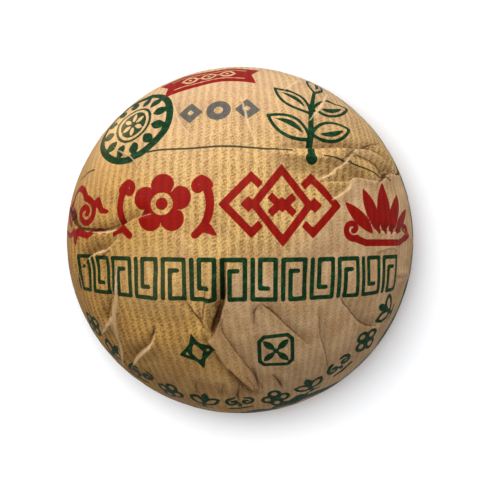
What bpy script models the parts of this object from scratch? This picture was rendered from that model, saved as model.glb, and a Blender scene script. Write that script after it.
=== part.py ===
"""A paper-wrapped tuocha: a bowl-shaped cake of pressed pu erh tea, dome up, in its printed wrapper.

The wrapper is one square sheet laid over the dome and gathered into the hollow underneath, so the shut
pack is one solid: a domed top with creased paper, a rim that it stands on, a hollow below it whose
paper is pleated, and the low twist of paper where all the pleats meet.

A place on the wrapper is given in paper coordinates: millimetres right and up from the middle of the
sheet, as the print reads. The middle of the sheet lies on the top of the dome.
"""

import math

import bpy
import numpy as np

# Driving dimensions, in metres.
CAKE_RADIUS = 0.042
CAKE_HEIGHT = 0.045
BELLY_HEIGHT = 0.0075
LAND_OUTER_RADIUS = 0.036
LAND_INNER_RADIUS = 0.0305
LIP_WIDTH = 0.0030
LIP_HEIGHT = 0.0040
HOLLOW_HEIGHT = 0.0185
TWIST_RADIUS = 0.0100
TWIST_DROP = 0.0065

# How finely the turned shape is cut, and the distance below which points count as one.
ARC_POINTS = 60
TURN_STEPS = 108
PROFILE_ROWS = 46
MERGE_DISTANCE = 0.00001
ON_TABLE = 1e-9

# The lumps of pressed leaf that show through the paper.
LUMP_HEIGHT = 0.00022
LUMP_SPACING = 0.017
LUMP_WAVES = 9
LUMP_SEED = 93

# The pleats that take up the spare paper. They start this length of paper from the top of the dome,
# are deepest this far past the land, and lie flush for a share of their width.
PLEAT_COUNT = 21
PLEAT_SPIRAL = 0.9
PLEAT_WANDER = 0.16
PLEAT_FLUSH_SHARE = 0.40
PLEAT_START = 0.046
PLEAT_DEEPEST = 0.012
PLEAT_DEPTH_ON_LAND = 0.00045
PLEAT_DEPTH_IN_HOLLOW = 0.0014

# The folds wound round the low twist of paper, in radians for each metre of paper.
TWIST_FOLDS = 6
TWIST_FOLD_DEPTH = 0.0008
TWIST_WIND = 260.0

# Creases and lumps die away over this length of paper above the belly, so the outline stays round.
CREASE_FADE = 0.016

# Creases are given in millimetres, and the sharpness is the power of their fall on either side.
MM = 0.001
CREASE_SHARPNESS = 1.5

# Tucks, where one fold of paper lies over the next: (places in mm of paper, rise in mm of the upper
# layer, its width, dip of the lower layer, its width). The upper layer lies to the right of the way
# that the places run.
TUCKS = [
    ([(-41.0, 2.7), (-32.4, 2.4), (-27.0, 4.0), (-21.4, 6.2)], 0.55, 5.0, 0.45, 4.0),
    ([(22.0, 9.4), (28.0, 14.6), (38.0, 15.4), (42.4, 18.8), (57.0, 24.0)], 0.65, 5.0, 0.55, 4.0),
    ([(-3.1, -10.0), (-4.8, -16.2), (-6.8, -22.5), (-5.5, -27.0)], 0.60, 5.0, 0.70, 4.0),
    ([(5.8, -43.0), (-0.2, -36.5), (-4.5, -32.0), (-7.2, -24.3)], 0.50, 5.0, 0.50, 4.0),
    ([(5.8, -15.6), (10.3, -19.6), (16.1, -25.2)], 0.30, 4.0, 0.30, 4.0),
]

# Ridges stand up and valleys sink, where paper that had no room left was pressed together:
# (places in mm of paper, height in mm, half width in mm).
RIDGES = [
    ([(18.2, 23.0), (22.9, 23.3), (30.8, 24.4), (37.6, 25.5)], 0.65, 3.5),
    ([(19.4, 14.2), (28.1, 20.1), (33.3, 24.5)], 0.60, 3.5),
    ([(17.0, 30.0), (28.4, 45.9)], 0.40, 4.0),
    ([(-27.6, 0.3), (-33.9, -2.0), (-38.6, -3.6), (-46.0, -8.5)], 0.55, 3.5),
    ([(-31.5, -8.0), (-31.6, -16.0), (-33.6, -24.7), (-34.0, -36.0)], 0.60, 3.5),
    ([(-21.0, -21.0), (-25.1, -28.9), (-31.5, -38.0)], 0.50, 3.5),
    ([(24.8, -14.2), (28.2, -18.2), (37.5, -25.0)], -0.40, 3.5),
    ([(19.0, -16.0), (20.2, -23.0), (25.5, -37.0)], -0.40, 3.5),
    ([(-17.8, 36.5), (-11.7, 24.6)], 0.25, 4.0),
]


def clear_scene():
    """Takes away the objects that the file opened with."""
    for old in list(bpy.data.objects):
        bpy.data.objects.remove(old, do_unlink=True)


def smooth_step(value, low, high):
    """0 below low, 1 above high, and a smooth rise between."""
    share = np.clip((value - low) / (high - low), 0, 1)
    return share * share * (3 - 2 * share)


def quarter_ellipse(centre, across, up, start, end):
    """Points of an ellipse round centre, from the angle start to the angle end, in degrees."""
    turn = np.radians(np.linspace(start, end, ARC_POINTS))
    return np.column_stack([centre[0] + across * np.cos(turn), centre[1] + up * np.sin(turn)])


def wrapper_profile():
    """(radius, height) along the wrapper, from the top of the dome to the middle of the hollow."""
    lip_radius = LAND_INNER_RADIUS - LIP_WIDTH
    hollow_rise = HOLLOW_HEIGHT - LIP_HEIGHT
    dome_rise = CAKE_HEIGHT - BELLY_HEIGHT
    belly_width = CAKE_RADIUS - LAND_OUTER_RADIUS
    dome = quarter_ellipse((0, BELLY_HEIGHT), CAKE_RADIUS, dome_rise, 90, 0)
    belly = quarter_ellipse((LAND_OUTER_RADIUS, BELLY_HEIGHT), belly_width, BELLY_HEIGHT, 0, -90)
    lip = quarter_ellipse((LAND_INNER_RADIUS, LIP_HEIGHT), LIP_WIDTH, LIP_HEIGHT, -90, -180)
    hollow = quarter_ellipse((0, LIP_HEIGHT), lip_radius, hollow_rise, 0, 90)
    hollow[:, 1] -= TWIST_DROP * (1 - smooth_step(hollow[:, 0], 0, TWIST_RADIUS))
    profile = np.vstack([dome, belly[1:], lip, hollow[1:]])
    profile[[0, -1], 0] = 0.0
    return profile


def along(profile):
    """The length of paper from the profile's start to each of its points."""
    steps = np.hypot(*np.diff(profile, axis=0).T)
    return np.concatenate([[0.0], np.cumsum(steps)])


def even_rows(profile, count):
    """The radius, the height and the length of paper at count points an even length apart.

    The two edges of the flat land keep a row each, so that the ring the cake stands on is really flat."""
    length = along(profile)
    rows = np.linspace(0, length[-1], count)
    for edge in length[profile[:, 1] < ON_TABLE]:
        rows[np.argmin(abs(rows - edge))] = edge
    return np.interp(rows, length, profile[:, 0]), np.interp(rows, length, profile[:, 1]), rows


def turned_wrapper():
    """The smooth wrapper, a profile turned about Z, as a mesh whose points know their length of paper."""
    radius, height, length = even_rows(wrapper_profile(), PROFILE_ROWS)
    outline = bpy.data.meshes.new("wrapper_profile")
    points = np.column_stack([radius, np.zeros(PROFILE_ROWS), height])
    edges = [(n, n + 1) for n in range(PROFILE_ROWS - 1)]
    outline.from_pydata(points.tolist(), edges, [])
    paper = outline.attributes.new("paper", "FLOAT", "POINT")
    paper.data.foreach_set("value", length.astype(np.float32))
    guide = bpy.data.objects.new("wrapper_profile", outline)
    bpy.context.scene.collection.objects.link(guide)
    screw = guide.modifiers.new("turn", "SCREW")
    screw.axis = "Z"
    screw.angle = math.tau
    screw.steps = TURN_STEPS
    screw.render_steps = TURN_STEPS
    screw.use_merge_vertices = True
    screw.merge_threshold = MERGE_DISTANCE
    bpy.context.view_layer.update()
    graph = bpy.context.evaluated_depsgraph_get()
    mesh = bpy.data.meshes.new_from_object(guide.evaluated_get(graph))
    bpy.data.objects.remove(guide, do_unlink=True)
    return mesh


def distance_to_path(right, up, path):
    """Distance from each place to a path of straight stretches, on which side it lies, and how far along.

    The side is +1 to the right of the way the path runs. Places are in millimetres of paper."""
    best = np.full(right.shape, np.inf)
    side = np.zeros(right.shape)
    share = np.zeros(right.shape)
    path = np.asarray(path, float)
    lengths = np.hypot(*np.diff(path, axis=0).T)
    whole = lengths.sum()
    before = 0.0
    for start, end, length in zip(path[:-1], path[1:], lengths):
        way = (end - start) / length
        east, north = right - start[0], up - start[1]
        ahead = np.clip(east * way[0] + north * way[1], 0, length)
        off = np.hypot(east - ahead * way[0], north - ahead * way[1])
        nearer = off < best
        best = np.where(nearer, off, best)
        side = np.where(nearer, np.sign(east * way[1] - north * way[0]), side)
        share = np.where(nearer, (before + ahead) / whole, share)
        before += length
    return best, side, share


def taper(share):
    """1 halfway along a crease, falling to 0 at both of its ends."""
    return np.sqrt(np.clip(4 * share * (1 - share), 0, 1))


def flank(off, width):
    """1 on the line of a crease, falling to 0 a width away from it."""
    return np.clip(1 - off / width, 0, 1) ** CREASE_SHARPNESS


def crease_relief(right, up):
    """Height in metres of the tucks and ridges above the smooth dome, at places in mm of paper."""
    height = np.zeros(right.shape)
    for path, rise, rise_width, dip, dip_width in TUCKS:
        off, side, share = distance_to_path(right, up, path)
        upper = rise * flank(off, rise_width)
        lower = -dip * flank(off, dip_width)
        height += taper(share) * np.where(side > 0, upper, lower)
    for path, tall, half_width in RIDGES:
        off, _, share = distance_to_path(right, up, path)
        height += tall * taper(share) * flank(off, half_width)
    return height * MM


def lump_relief(right, up):
    """Low lumps of tea under the paper, a sum of seeded waves, in metres. Places are in mm of paper."""
    draw = np.random.default_rng(LUMP_SEED)
    height = np.zeros(right.shape)
    for _ in range(LUMP_WAVES):
        heading = draw.uniform(0, math.tau)
        spacing = LUMP_SPACING / MM * draw.uniform(0.7, 1.6)
        start = draw.uniform(0, math.tau)
        height += np.sin(math.tau * (right * np.cos(heading) + up * np.sin(heading)) / spacing + start)
    return LUMP_HEIGHT * height / math.sqrt(LUMP_WAVES)


def pleat_relief(turn, paper, land, hollow, middle):
    """Depth of the pleats below the smooth shape, in metres. Each is flush for part of its width, sinks
    towards the next, and ends in a step where that one lies over it.

    The land, the hollow and the middle are lengths of paper: where the flat land starts, where the
    pleats are deepest, and the middle of the underside."""
    wander = PLEAT_WANDER * (np.sin(3 * turn + 1.0) + np.sin(5 * turn + 4.0) + np.sin(8 * turn))
    lean = PLEAT_SPIRAL * np.clip((paper - land) / (middle - land), 0, 1)
    place = PLEAT_COUNT * turn / math.tau + wander + lean
    part = place - np.floor(place)
    sink = np.clip((part - PLEAT_FLUSH_SHARE) / (1 - PLEAT_FLUSH_SHARE), 0, 1) ** CREASE_SHARPNESS
    depth = PLEAT_DEPTH_ON_LAND * np.clip((paper - PLEAT_START) / (land - PLEAT_START), 0, 1) ** 1.5
    depth = depth + (PLEAT_DEPTH_IN_HOLLOW - PLEAT_DEPTH_ON_LAND) * smooth_step(paper, land, hollow)
    return -depth * sink * (1 - smooth_step(paper, middle - TWIST_RADIUS, middle - TWIST_RADIUS / 2))


def twist_relief(turn, paper, middle):
    """Folds round the low twist of paper in the middle of the hollow, in metres."""
    inwards = (paper - middle) / TWIST_RADIUS
    near = smooth_step(inwards, -1.3, -0.7) * (1 - smooth_step(inwards, -0.5, 0))
    wound = TWIST_FOLDS * turn + TWIST_WIND * (paper - middle)
    return TWIST_FOLD_DEPTH * near * np.sin(wound)


def read_floats(items, name, width):
    """The values of one property of all the items, one row for each."""
    values = np.empty(len(items) * width, np.float32)
    items.foreach_get(name, values)
    return values.reshape(-1, width).astype(float)


def crease(mesh):
    """Moves each point of the smooth wrapper along its normal by the height of the creased paper there."""
    place = read_floats(mesh.vertices, "co", 3)
    outward = read_floats(mesh.vertex_normals, "vector", 3)
    paper = read_floats(mesh.attributes["paper"].data, "value", 1)[:, 0]
    profile = wrapper_profile()
    length = along(profile)
    belly = length[np.argmax(profile[:, 0])]
    on_table = length[profile[:, 1] < ON_TABLE]
    middle = length[-1]

    turn = np.arctan2(place[:, 1], place[:, 0])
    right = paper * np.cos(turn) / MM
    up = paper * np.sin(turn) / MM
    on_dome = 1 - smooth_step(paper, belly - CREASE_FADE, belly)
    height = on_dome * (crease_relief(right, up) + lump_relief(right, up))
    height += pleat_relief(turn, paper, on_table.min(), on_table.max() + PLEAT_DEEPEST, middle)
    height += twist_relief(turn, paper, middle)
    place += outward * height[:, None]
    place[:, 2] = np.maximum(place[:, 2], 0)
    mesh.vertices.foreach_set("co", place.astype(np.float32).ravel())
    mesh.update()


def paper_material():
    """Brown ribbed wrapping paper with a slight sheen."""
    material = bpy.data.materials.new("wrapper_paper")
    material.use_nodes = True
    shader = material.node_tree.nodes["Principled BSDF"]
    shader.inputs["Base Color"].default_value = (0.52, 0.32, 0.13, 1.0)
    shader.inputs["Roughness"].default_value = 0.55
    shader.inputs["Metallic"].default_value = 0.0
    return material


def wrapped_tuocha(collection):
    """The shut pack: the cake in its paper, as one solid."""
    mesh = turned_wrapper()
    crease(mesh)
    mesh.name = "wrapped_tuocha"
    mesh.shade_smooth()
    mesh.materials.append(paper_material())
    pack = bpy.data.objects.new("wrapped_tuocha", mesh)
    collection.objects.link(pack)
    return pack


def main():
    clear_scene()
    collection = bpy.data.collections.new("pu_erh_tuocha")
    bpy.context.scene.collection.children.link(collection)
    wrapped_tuocha(collection)


main()
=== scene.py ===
"""The looks of a tuocha in its wrapper: ribbed brown kraft paper, creased over the dome of pressed tea,
printed in red and green, and pleated into the hollow underneath.

A place on the wrapper is given in paper coordinates: millimetres right and up from the middle of the
sheet, as the print reads. The middle of the sheet lies on the top of the dome.
"""

import math

import bpy
import numpy as np
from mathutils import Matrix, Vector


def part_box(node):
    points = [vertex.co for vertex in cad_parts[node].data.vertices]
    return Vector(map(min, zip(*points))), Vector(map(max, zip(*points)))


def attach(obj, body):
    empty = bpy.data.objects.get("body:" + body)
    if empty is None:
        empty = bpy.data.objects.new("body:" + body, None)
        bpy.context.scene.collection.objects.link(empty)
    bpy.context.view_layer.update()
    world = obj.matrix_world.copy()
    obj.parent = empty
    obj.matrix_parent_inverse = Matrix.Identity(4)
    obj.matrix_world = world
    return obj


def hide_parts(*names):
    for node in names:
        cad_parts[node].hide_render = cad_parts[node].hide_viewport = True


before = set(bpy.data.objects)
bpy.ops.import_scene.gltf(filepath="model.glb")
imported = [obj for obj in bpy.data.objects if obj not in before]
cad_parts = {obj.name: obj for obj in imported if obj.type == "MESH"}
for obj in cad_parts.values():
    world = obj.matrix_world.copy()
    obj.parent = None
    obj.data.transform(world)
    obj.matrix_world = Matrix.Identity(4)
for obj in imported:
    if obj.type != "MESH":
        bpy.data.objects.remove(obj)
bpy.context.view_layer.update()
CAKE_LOW, CAKE_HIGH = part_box("wrapped_tuocha")

bl_info = {
    "name": "Wrapped tuocha",
    "version": (1, 0, 0),
    "blender": (4, 5, 0),
    "location": "3D View > Sidebar > Tuocha",
    "description": "Builds a paper-wrapped tuocha and the plain stage that it is seen on",
    "category": "Add Mesh",
}

MM = 0.001

# The smooth cake's size, to the millimetre, because the solid's own box takes in its creases.
CAKE_RADIUS = round((CAKE_HIGH.x - CAKE_LOW.x) / 2, 3)
CAKE_HEIGHT = round(CAKE_HIGH.z - CAKE_LOW.z, 3)

# How finely the wrapper is cut: columns round it, rows down the dome, and rows under it.
COLUMNS = 500
DOME_ROWS = 150
UNDER_ROWS = 48
ARC_POINTS = 90
ON_TABLE = 1e-9

# The lumps of pressed leaf that show through the paper, the straight creases of a handled sheet, and the
# puckers where the spare paper starts to gather over the belly. Lengths and heights are in mm of paper.
LUMP_SPACING = 17.0
LUMP_WAVES = 9
LUMP_SEED = 93
CRUMPLE_SEED = 7
CRUMPLE_WAVES = 8
CRUMPLE_SPACING = (9.0, 17.0)
PUCKER_SEED = 31
PUCKER_COUNT = 44
PUCKER_STARTS = (34, 50)
PUCKER_RISE = 9
PUCKER_BENDS = (-0.012, 0.012)
PUCKER_HEIGHTS = (-0.20, 0.28)
PUCKER_HALF_WIDTHS = (1.2, 2.6)
PUCKER_FADE = (9, 1)
PUCKER_ARC_SHARE = 0.7
CREASE_SHARPNESS = 1.5

# The pleats that take up the spare paper, in metres of paper from the top of the dome.
PLEAT_COUNT = 21
PLEAT_SPIRAL = 0.9
PLEAT_WANDER = 0.16
PLEAT_FLUSH_SHARE = 0.40
PLEAT_STEP_SHARE = 0.07
PLEAT_START = 0.055
PLEAT_DEEPEST = 0.012
PLEAT_DEPTH_ON_LAND = 0.00045
PLEAT_DEPTH_IN_HOLLOW = 0.0014
TWIST_FOLDS = 6
TWIST_FOLD_DEPTH = 0.0008
TWIST_WIND = 260.0

# Creases and lumps die away between these lengths of paper above the belly, so the outline stays round.
CREASE_FADE = (0.014, 0.003)

# Creases, each as (places, height to the left, height to the right, width, shade to the left, shade to the
# right), where left and right are as seen along the way that the places run. A place is (right, up) in mm
# of paper and the half width there of the line that shows on the crease: a worn crest with a painted
# highlight, or a dark gap of painted shade where it is below zero. The heights in mm are how far the paper
# stands up, or sinks below zero, on each side, and the width is how far in mm that reaches. The shades,
# from 0 to 1, are painted shade beside the crease.
CREASES = [
    ([(-40, 2.2, 0.03), (-36, 2, 0.28), (-32.6, 2.3, 0.34), (-30.2, 3, 0.24), (-26, 5, 0.1),
      (-21.4, 6.2, 0.04)], -0.75, 0.4, 4.4, 0.75, 0),
    ([(-47.6, 4.7, -0.2), (-45.4, 3.4, -0.34), (-42.8, 3, -0.36), (-39.3, 2.7, -0.3), (-35, 2.9, -0.18),
      (-31, 3.8, -0.06)], -0.3, -0.15, 1.8, 0.6, 0.1),
    ([(-56, 10.2, -0.3), (-53.5, 8.9, -0.5), (-50.1, 7, -0.5), (-47.8, 5, -0.35), (-45.4, 3.3, -0.2)],
      -0.45, 0.3, 3.2, 0.6, 0.2),
    ([(-30, 0.6, 0.04), (-32.8, -1.5, 0.28), (-35.1, -2.8, 0.32), (-38.1, -3.4, 0.36),
      (-43, -5.7, 0.42), (-46.8, -10.6, 0.1)], 0.4, -0.7, 4, 0, 0.75),
    ([(-33.2, -2.6, -0.05), (-35.4, -4.2, -0.2), (-37.6, -5.4, -0.05)], -0.1, -0.1, 1.2, 0.4, 0.2),
    ([(9, 22.2, 0), (14, 22.5, 0.1), (18.5, 23, 0.18), (23.1, 23.6, 0.18), (29.8, 24.5, 0.15),
      (37, 25.3, 0.06)], -0.8, 0.1, 4.2, 0.85, 0),
    ([(7, 20.8, 0), (14, 20.1, 0), (20, 19.9, 0), (28, 20.6, 0)], 0.5, 0.5, 3.8, 0, 0.55),
    ([(19.4, 13.7, 0), (23.1, 14.2, 0.1), (27.8, 14.5, 0.04)], -0.45, 0.3, 3.2, 0.6, 0),
    ([(19, 14.7, 0.18), (21.9, 15.9, 0.28), (23.9, 17.7, 0.2), (25.9, 18.9, 0.2), (29, 22, 0.19),
      (32.4, 24.5, 0.08)], -0.4, 0.3, 3, 0.55, 0.1),
    ([(26.3, 20.5, -0.06), (28.4, 22.3, -0.16), (30, 23.7, -0.16), (31.2, 24.8, -0.06)],
      -0.15, -0.1, 1.3, 0.4, 0.3),
    ([(29.4, 21.5, -0.08), (31, 22.4, -0.18), (35.4, 22, -0.12), (38.6, 21.1, -0.16), (41, 19.9, -0.1),
      (44, 19.7, -0.03)], -0.4, -0.45, 2.2, 0.4, 0.5),
    ([(33, 24.2, 0), (37, 23.9, 0), (42, 22.6, 0), (47, 21.2, 0)], 0.5, 0.5, 2.2, 0, 0),
    ([(33.8, 25.6, -0.1), (37, 26.2, -0.16), (39.4, 25.4, -0.12), (44.1, 23.8, -0.12),
      (48.1, 21.9, -0.06)], -0.4, -0.4, 1.9, 0.4, 0.35),
    ([(33.6, 25.5, -0.12), (35.8, 26.6, -0.2), (37.8, 27.6, -0.14), (40.2, 28.6, -0.08),
      (43.4, 30, -0.02)], -0.25, -0.3, 1.8, 0.4, 0.3),
    ([(38, 27, 0), (42, 26.2, 0), (46, 25.2, 0), (50.5, 23.8, 0)], 0.45, 0.45, 2, 0, 0),
    ([(37.6, 15.6, -0.12), (39.4, 17.1, -0.24), (42.9, 19.5, -0.24), (46.9, 19.9, -0.26),
      (50.1, 20.9, -0.34), (55.5, 24.6, -0.34)], -0.6, 0.7, 4.5, 0.65, 0),
    ([(28.1, 14.9, 0.12), (29, 15.7, 0.18), (32.2, 15.8, 0.2), (35.4, 15.6, 0.16), (38.4, 15.9, 0.06)],
      -0.4, 0.3, 2.4, 0.65, 0),
    ([(28.1, 14.9, 0.12), (27.5, 13.5, 0.18), (25.9, 11.9, 0.22), (23.9, 10.7, 0.18),
      (21.8, 9.4, 0.03)], 0.35, -0.35, 3.2, 0, 0.45),
    ([(18.2, 31.2, 0.1), (21.5, 35.7, 0.36), (23.5, 38.9, 0.38), (25.1, 41.7, 0.34), (27.4, 45.9, 0.1)],
      0.05, 0.35, 3.4, 0.3, 0),
    ([(12.4, 42.2, 0.08), (15.5, 45.7, 0.4), (18.6, 48.8, 0.2)], 0.15, 0.25, 3, 0, 0),
    ([(-19, 39.4, 0.08), (-16.9, 33.8, 0.22), (-15.2, 29.9, 0.22), (-12.2, 26.2, 0.05)],
      -0.3, 0.25, 4, 0.35, 0),
    ([(0.2, 37.4, 0.08), (1.2, 32.5, 0.24), (2, 28.5, 0.2), (3.8, 22.4, 0.04)],
      0.3, -0.15, 3.4, 0, 0.3),
    ([(-35, 25.6, 0.04), (-31.5, 23.4, 0.16), (-28.4, 21.6, 0.16), (-25, 17.8, 0.04)],
      0.3, 0, 3, 0, 0.25),
    ([(-31, -6.5, 0.12), (-31.5, -12, 0.4), (-32.3, -16.1, 0.8), (-33.3, -19.1, 0.82),
      (-33.7, -22, 0.7), (-33.7, -29.3, 0.56), (-33.9, -32.6, 0.5), (-34.9, -36.2, 0.34),
      (-36.4, -39.6, 0.08)], 0.32, 0.32, 2.4, 0.25, 0.5),
    ([(-33.2, -13, 0), (-35, -17.5, -0.14), (-35.9, -20, -0.1), (-37.4, -23, 0)],
      -0.4, -0.4, 2.8, 0.35, 0.45),
    ([(-34.6, -21.2, 0.55), (-37, -24, 0.5), (-38.8, -25.9, 0.42), (-41.2, -27.9, 0.08)],
      0.25, 0.25, 2, 0.1, 0.5),
    ([(-21.4, -23.4, 0.05), (-22.9, -27, 0.3), (-25.2, -29.3, 0.42), (-27.5, -31.6, 0.52),
      (-29.4, -33.9, 0.5), (-31.4, -36.8, 0.08)], 0.35, -0.45, 3.8, 0, 0.55),
    ([(-21.4, -21.6, -0.04), (-22, -23.6, -0.24), (-23, -25.6, -0.06)], -0.15, -0.1, 1.5, 0.3, 0.5),
    ([(-14.6, -12.4, 0), (-12.6, -15, -0.08), (-10.9, -17.3, -0.2), (-9.6, -19, -0.22),
      (-8.4, -20.6, -0.05)], 0.1, -0.35, 2.4, 0, 0.4),
    ([(-7.9, -10.4, -0.03), (-8.3, -14, -0.12), (-8.7, -17.6, -0.16), (-8.9, -20.4, -0.05)],
      0.15, -0.3, 2.2, 0.05, 0.35),
    ([(-5.6, -8, 0), (-6.9, -13, 0), (-8.2, -18.5, 0), (-8.6, -24, 0)], 0.5, 0.5, 2.2, 0, 0),
    ([(-3.1, -4.5, 0), (-3.3, -9, 0), (-3.4, -12.7, -0.06), (-3.9, -15, -0.14), (-4.7, -17.6, -0.2),
      (-5.5, -20.2, -0.2), (-6.7, -23, -0.05)], 0.05, -1.25, 3.4, 0, 1),
    ([(-4.3, -13.5, -0.05), (-5.1, -16.6, -0.2), (-5.9, -19.2, -0.36), (-6.5, -21.4, -0.32),
      (-6.8, -22.9, -0.08)], 0, 0, 1.8, 0.6, 0.95),
    ([(-6.8, -22.9, 0), (-7.7, -24.6, 0), (-6.9, -25.9, 0), (-5, -30.2, 0), (-3.2, -33.4, 0)],
      0.4, -0.4, 3, 0, 0.6),
    ([(-3.8, -32.5, -0.04), (-2.4, -33.7, -0.34), (-0.3, -35.9, -0.40), (1.2, -37.8, -0.44),
      (2.8, -39.7, -0.26), (5.4, -42.4, -0.06)], 0.5, -0.5, 4, 0, 0.85),
    ([(-3.6, -16.5, 0), (-4.3, -19.5, -0.05), (-4.2, -21.8, -0.1), (-2.2, -25.6, -0.1),
      (0.1, -29.4, -0.1), (3.1, -34, -0.11), (6.4, -40.4, -0.03)], -0.3, -0.05, 2.6, 0.35, 0),
    ([(3.5, -33.4, -0.04), (4.3, -36.2, -0.22), (5, -39.3, -0.12), (5.4, -41.4, 0)],
      -0.35, -0.2, 2, 0.45, 0.35),
    ([(-0.2, -38, -0.03), (-0.5, -41.2, -0.18), (-0.7, -43.8, -0.2), (0.1, -47.5, -0.04)],
      -0.35, -0.35, 2.2, 0.45, 0.45),
    ([(8.4, -35.4, -0.02), (10.4, -38.2, -0.22), (11.9, -41.2, -0.06)], -0.35, -0.25, 2.2, 0.5, 0.35),
    ([(-4.4, -37.5, 0), (-4.8, -41, -0.1), (-5, -45, 0)], -0.3, -0.25, 2.2, 0.35, 0.35),
    ([(-11.4, -36.5, 0), (-12.2, -41, -0.07), (-12.8, -46, 0)], -0.25, -0.2, 2.2, 0.3, 0.3),
    ([(4.4, -15.3, -0.04), (3.4, -16.9, -0.18), (3.3, -18.6, -0.06), (3.9, -22, 0)],
      -0.2, -0.35, 2, 0.35, 0.45),
    ([(5.2, -15, -0.04), (6.6, -16.1, -0.2), (8.4, -17.5, -0.18), (10.3, -19.6, -0.12),
      (12.2, -21.5, -0.16), (13.8, -23, -0.12), (18.4, -27.4, 0)], -0.4, -0.05, 2.8, 0.45, 0.1),
    ([(19.2, -16, 0), (20.3, -23.7, -0.08), (22.3, -28.9, -0.11), (23.4, -32.4, -0.09),
      (24.6, -36, -0.02)], -0.3, 0, 2.8, 0.35, 0.05),
    ([(24.4, -13.4, -0.03), (25.9, -15.8, -0.16), (27.5, -17.4, -0.13), (31.4, -21.4, -0.17),
      (35.4, -23.7, -0.13), (39.8, -24.3, 0)], -0.4, -0.05, 3, 0.5, 0.15),
    ([(33.8, 2.9, -0.03), (37.8, 2.6, -0.13), (41.7, 2.4, -0.09), (44.9, 2.6, -0.08),
      (49.7, 2.2, -0.07), (54, 1.6, 0)], -0.3, 0.15, 2.6, 0.4, 0),
    ([(34.4, -3, 0.04), (37, -2.5, 0.14), (39.4, -2.1, 0.14), (41.7, -1.9, 0.1), (43.9, -2.8, 0.03)],
      0.25, 0.05, 2.2, 0, 0.3),
    ([(44, -10.3, 0), (49.7, -10.7, 0), (54, -11.4, 0)], 0.2, -0.25, 2.4, 0, 0.3),
    ([(-13.5, 1.2, 0), (-12.4, -3, 0), (-12.4, -9, 0), (-13.2, -14, 0)], 0.3, 0.3, 2.6, 0, 0),
    ([(-21, -1, 0), (-22.6, -6.4, 0), (-21.4, -12, 0), (-21.6, -20, 0)], 0.35, 0.1, 3.4, 0, 0.25),
    ([(14, -3, 0), (16, -9, 0), (14.6, -14.5, 0)], -0.1, -0.35, 3.2, 0, 0.3),
]

# In mm: over how wide a strip a crease changes from its left height to its right one, how far its path
# wanders, the thinnest half width of line that is drawn, and how far past its edge a line is kept.
CREASE_RAMP = 0.45
WOBBLE_SEED = 5
WOBBLE_HEIGHT = 0.05
THINNEST_LINE = 0.03
LINE_REACH = 1.6

# Soft darker places of painted shade in the hollows between creases: middle and reach in mm of paper, and
# depth from 0 to 1.
PAINTED_SHADE_PATCHES = [
    (15.5, 17.4, 7.5, 2.2, 0.55), (29.5, 17.9, 5.5, 2.2, 0.55), (27, 15.6, 1.4, 1.6, 0.35),
    (-36.3, -20.5, 1.6, 3.4, 0.4), (-27.4, -28.6, 3, 3.2, 0.18), (-9, 33.5, 9, 6.5, 0.28),
    (4.6, -20.5, 1.2, 3, 0.34), (-6, -11, 1.7, 4.4, 0.42), (-39, -0.6, 4.5, 1.6, 0.35),
    (6.8, -14.6, 2.6, 1.3, 0.25), (10.6, -39.4, 1.6, 2, 0.35), (-22, 27, 2, 6, 0.18),
]

# Soft lighter places of painted highlight, given as the painted shade patches are. They follow brighter
# parts of the photo.
PAINTED_HIGHLIGHTS = [(-20, -9, 13, 9, 0.20), (-37, 34, 9, 9, 0.42), (55, 16, 6, 13, 0.20)]

# The paper lies smoother and rosier to the right of this line, over the width given with each place. Its
# rosy tone there is partly painted cooler light.
ROSY_EDGE = [
    (58, 26, 2), (42, 18.5, 0.8), (28.1, 14.9, 0.6), (27.5, 13.5, 0.6), (22.3, 9.7, 2.5), (9, -3, 9),
    (-3.2, -8, 2), (-3.5, -13, 0.5), (-5, -19, 0.4), (-6.7, -23, 0.4), (-7.7, -24.6, 0.4),
    (-6.9, -25.9, 0.4), (-5, -30.2, 0.4), (-3.2, -33.4, 0.4), (5.4, -42.4, 0.8), (6.5, -66, 3),
]

# Narrow bands where the ribs are pressed flat: places, and half width.
SMOOTH_BANDS = [
    ([(32.0, 24.0), (37.0, 24.0), (42.0, 22.8), (50.0, 21.6)], 1.6),
    ([(-12.8, 0.0), (-12.3, -6.0), (-12.4, -14.0)], 1.1),
]

# Over which places, in mm of paper, it turns deeper and darker brown to the lower left and at the foot,
# partly the paper's own tone and partly painted shade; rosier at the foot, partly painted cooler light;
# paler at the top, which is a painted glare; and more crumpled towards the foot.
DEEP_CORNER = (-2.0, 58.0)
DEEP_FOOT = (40.0, 60.0)
DEEP_FOOT_SHARE = 0.35
ROSY_FOOT = (21.0, 37.0)
ROSY_FOOT_SHARE = 0.85
TOP_GLARE_SPAN = (6.0, 46.0)
TOP_GLARE_SLANT = 0.25
CRUMPLED_FOOT = (-22.0, 12.0)
CALM_SHARE = 0.45

# At the lower left the ribs lean: below this height they run to the right by this share of how far down
# they are. The lean fades out over these places to the right. All are in mm of paper.
RIB_LEAN_TOP = -14.0
RIB_LEAN_FADE = (0.0, 24.0)
RIB_LEAN = 0.16

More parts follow.
